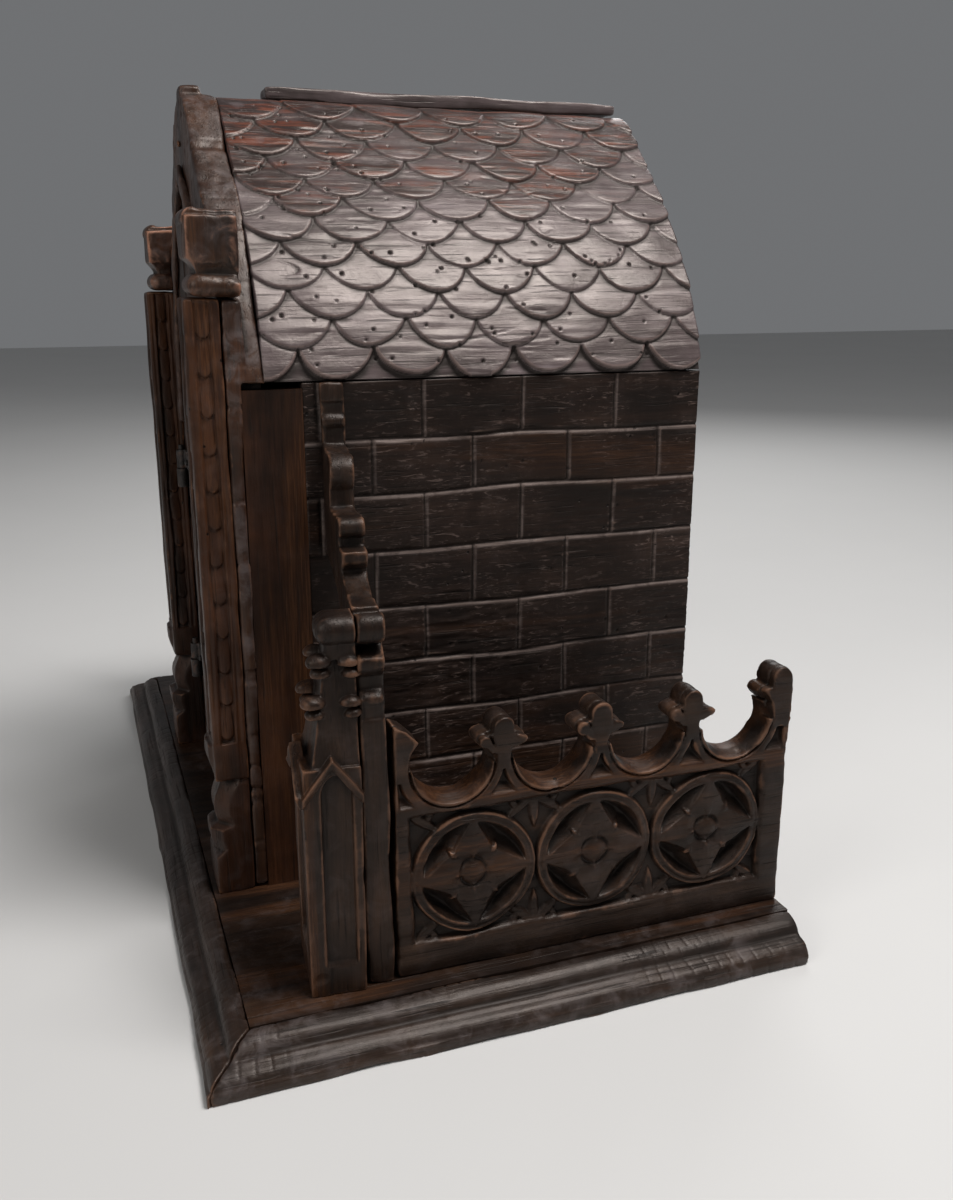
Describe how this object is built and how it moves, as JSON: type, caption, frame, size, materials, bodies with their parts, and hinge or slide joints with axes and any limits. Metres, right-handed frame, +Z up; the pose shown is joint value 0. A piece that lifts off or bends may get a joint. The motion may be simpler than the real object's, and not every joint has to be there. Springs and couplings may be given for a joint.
{
  "type": "tabernacle box",
  "caption": "Oak tabernacle shaped as a small Gothic church, with scaled roof, flying buttresses, carved balustrades and a locking iron-strapped door.",
  "frame": {"origin": "middle of the underside of the base, on the ground", "axes": "+Z up; the door and gable face -Y; the back is flat and faces +Y; +X is to the right of someone facing the door"},
  "size_m": [0.592, 0.344, 0.498],
  "materials": {
    "dark_oak": "old dark stained oak, waxed, worn to reddish brown on the edges, with worm holes",
    "red_oak": "old oak worn to a reddish brown, waxed, with worm holes",
    "roof_oak": "old dark oak with a greyish wax sheen and polished reddish patches, with worm holes",
    "iron": "old hand-forged iron, dark brown-black"
  },
  "bodies": {
    "case": {"base_board": "dark_oak", "base_moulding_front": "dark_oak", "base_moulding_right": "dark_oak", "base_moulding_left": "dark_oak", "brick_wall_right": "dark_oak", "brick_wall_left": "dark_oak", "plain_board_right": "red_oak", "plain_board_left": "red_oak", "gable_board": "red_oak", "arch_hood": "red_oak", "gable_tracery": "red_oak", "back_board": "dark_oak", "roof_right": "roof_oak", "roof_left": "roof_oak", "ridge_batten": "roof_oak", "pilaster_right": "red_oak", "pilaster_left": "red_oak", "capital_right": "red_oak", "capital_left": "red_oak", "buttress_right": "dark_oak", "buttress_left": "dark_oak", "pier_right": "dark_oak", "pier_left": "dark_oak", "balustrade_right": "dark_oak", "balustrade_left": "dark_oak", "rail_dowels_right": "red_oak", "rail_dowels_left": "red_oak", "pintle_lower": "iron", "pintle_upper": "iron", "pintle_nails": "iron", "strike_plate": "iron"},
    "door": {"door_board_hinge": "dark_oak", "door_board_middle": "dark_oak", "door_board_lock": "dark_oak", "door_batten_lower": "dark_oak", "door_batten_upper": "dark_oak", "strap_lower": "iron", "strap_upper": "iron", "strap_nails": "iron", "ring_plate": "iron", "escutcheon": "iron", "lock_case": "iron"},
    "ring": {"ring_handle": "iron"},
    "key": {"key": "iron"},
    "bolt": {"lock_bolt": "iron"}
  },
  "joints": [
    {"name": "door_hinge", "type": "hinge", "parent": "case", "child": "door", "pos_m": [-0.091, -0.1266, 0.18], "axis": [0, 0, -1], "range_deg": [0, 105]},
    {"name": "ring_swing", "type": "hinge", "parent": "door", "child": "ring", "pos_m": [0.058, -0.13, 0.236], "axis": [-1, 0, 0], "range_deg": [0, 120]},
    {"name": "key_turn", "type": "hinge", "parent": "door", "child": "key", "pos_m": [0.066, -0.118, 0.1735], "axis": [0, 1, 0], "range_deg": [0, 180]},
    {"name": "bolt_throw", "type": "slide", "parent": "door", "child": "bolt", "axis": [1, 0, 0], "range_m": [0, 0.012]}
  ],
  "couplings": [
    {"joint": "key_turn", "follows": "bolt_throw", "rad_per_m": 261.8}
  ]
}
